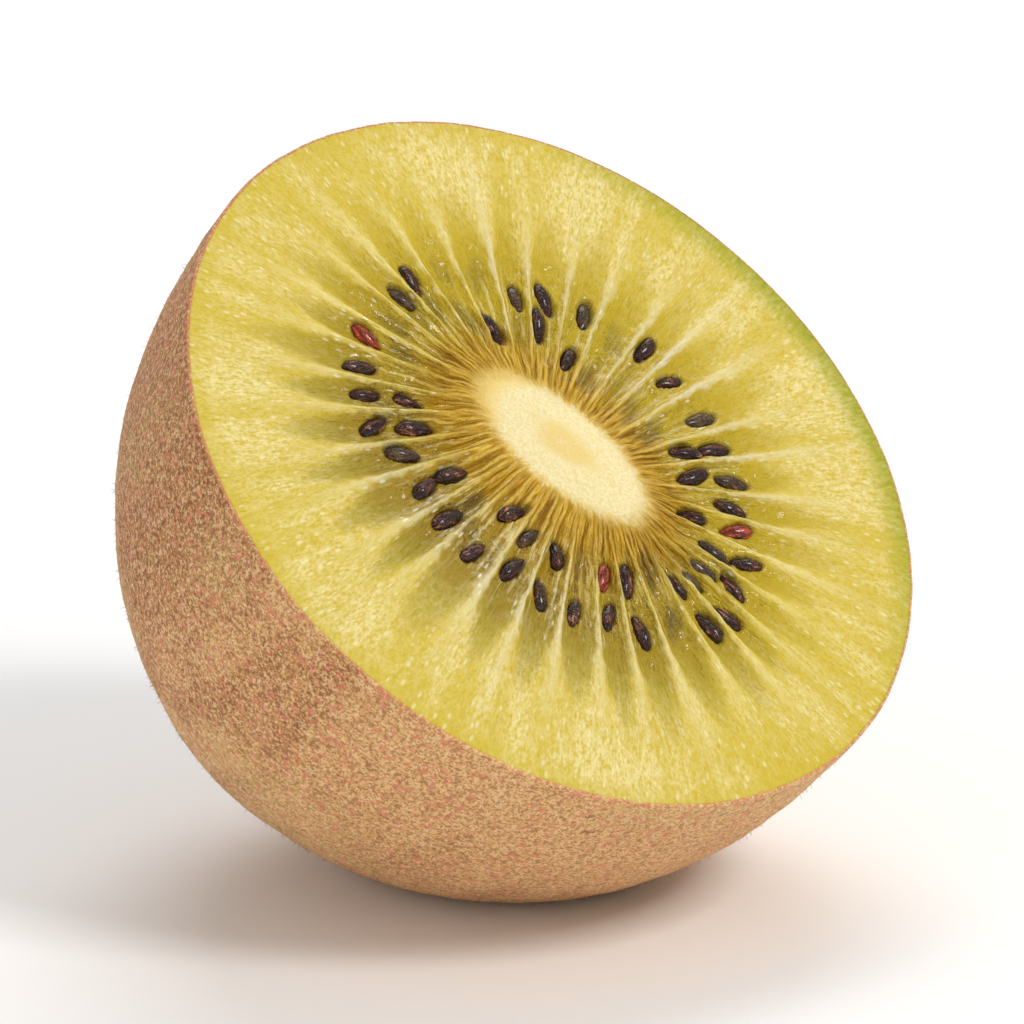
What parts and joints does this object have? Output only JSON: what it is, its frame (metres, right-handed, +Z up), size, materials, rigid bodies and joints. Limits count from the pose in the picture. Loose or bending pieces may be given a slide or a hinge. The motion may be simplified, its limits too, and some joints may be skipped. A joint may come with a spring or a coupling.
{
  "type": "halved golden kiwi fruit",
  "caption": "Half of a golden kiwi fruit cut across its middle: yellow-green flesh with radial seed chambers, dark seeds and a pale oval core in thin brown skin, lying on its rounded side.",
  "frame": {"origin": "middle of the small flat spot that the half rests on", "axes": "+Z up; the cut face looks up and towards -Y, its normal 45 degrees from straight up; +X to the right as seen from the cut face's side"},
  "size_m": [0.0517, 0.0506, 0.0491],
  "materials": {
    "flesh": "moist yellow-green fruit flesh",
    "skin": "matt brown skin with fine speckles and down",
    "seed": "glossy purple-black seed coat"
  },
  "bodies": {
    "root": {"kiwi_half": "flesh"}
  },
  "joints": []
}
